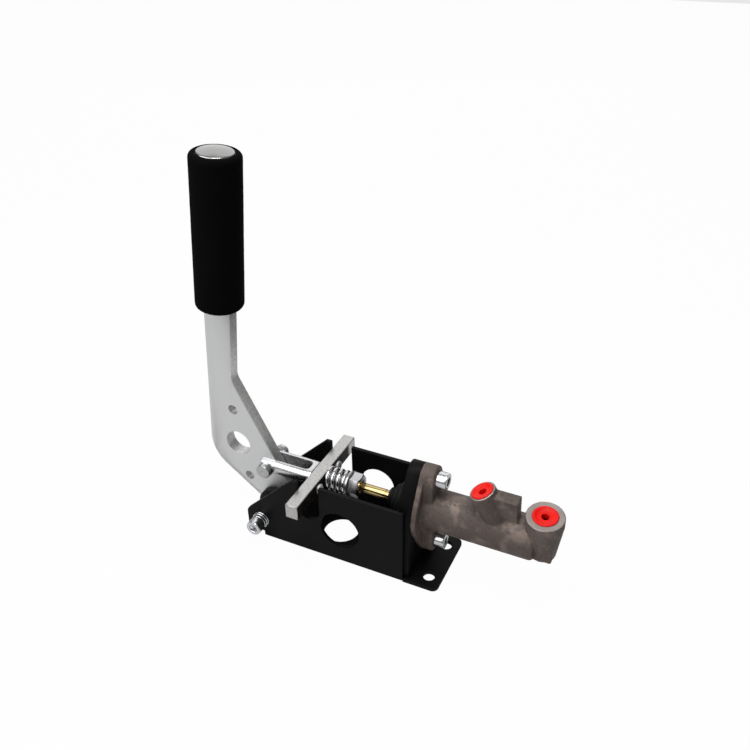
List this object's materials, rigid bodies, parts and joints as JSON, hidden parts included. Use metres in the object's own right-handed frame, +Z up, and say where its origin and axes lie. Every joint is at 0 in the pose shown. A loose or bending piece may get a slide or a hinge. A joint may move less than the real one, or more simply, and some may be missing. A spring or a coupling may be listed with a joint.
{
  "type": "hydraulic hand brake lever",
  "caption": "Hand brake lever hinged in a folded bracket, pushing a guided rod into a flange-mounted hydraulic master cylinder.",
  "frame": {"origin": "centre of the four mounting holes, on the underside of the bracket", "axes": "+X from the lever hinge towards the master cylinder, +Z up, +Y across the bracket to the far side"},
  "size_m": [0.2888, 0.0954, 0.3034],
  "materials": {
    "black_powder_coat": "satin black powder coat",
    "casting": "as-cast, machined at the ports",
    "red_plastic": "gloss",
    "boot_rubber": "matte",
    "zinc_steel": "bright zinc",
    "black_nylon": "matte",
    "brushed_aluminium": "satin brushed",
    "bronze": "plain",
    "grip_foam": "matte closed-cell foam",
    "polished_cap": "polished",
    "yellow_zinc": "yellow zinc"
  },
  "bodies": {
    "root": {"base_bracket": "black_powder_coat", "end_plate": "black_powder_coat", "cylinder_body": "casting", "inlet_plug": "red_plastic", "outlet_plug": "red_plastic", "dust_boot": "boot_rubber", "flange_bolts": "zinc_steel", "stop_washer": "zinc_steel", "retaining_ring": "zinc_steel", "pivot_bolt": "zinc_steel", "pivot_washers": "zinc_steel", "pivot_spring_washer": "zinc_steel", "pivot_nut": "zinc_steel", "pivot_spacers": "black_nylon", "return_spring": "zinc_steel"},
    "lever": {"lever_plate": "brushed_aluminium", "pivot_bush": "bronze", "grip_core": "zinc_steel", "foam_grip": "grip_foam", "grip_cap": "polished_cap"},
    "link": {"clevis_fork": "zinc_steel", "clevis_pin": "zinc_steel", "clevis_pin_nut": "zinc_steel", "clevis_pin_washer": "zinc_steel", "cross_bar": "brushed_aluminium", "bar_screws": "zinc_steel", "guide_sleeve": "zinc_steel", "rod_spring": "zinc_steel", "spring_washer": "zinc_steel", "adjuster_nut": "zinc_steel", "push_rod": "yellow_zinc"},
    "piston": {"piston": "brushed_aluminium", "piston_seals": "boot_rubber"}
  },
  "joints": [
    {"name": "lever_pull", "type": "hinge", "parent": "root", "child": "lever", "pos_m": [-0.0745, 0, 0.0184], "axis": [0, 1, 0], "range_deg": [0, 11.6], "stiffness_Nm_per_rad": 3.3, "springref_deg": -20.05},
    {"name": "link_swing", "type": "hinge", "parent": "lever", "child": "link", "pos_m": [-0.0787, 0, 0.0538], "axis": [0, 1, 0], "range_deg": [-11.6, 0]},
    {"name": "piston_slide", "type": "slide", "parent": "root", "child": "piston", "axis": [1, 0, 0], "range_m": [0, 0.0073], "deforming": ["return_spring"]}
  ],
  "couplings": [
    {"joint": "link_swing", "follows": "lever_pull", "ratio": -1},
    {"joint": "piston_slide", "follows": "lever_pull", "m_per_rad": 0.035582}
  ]
}
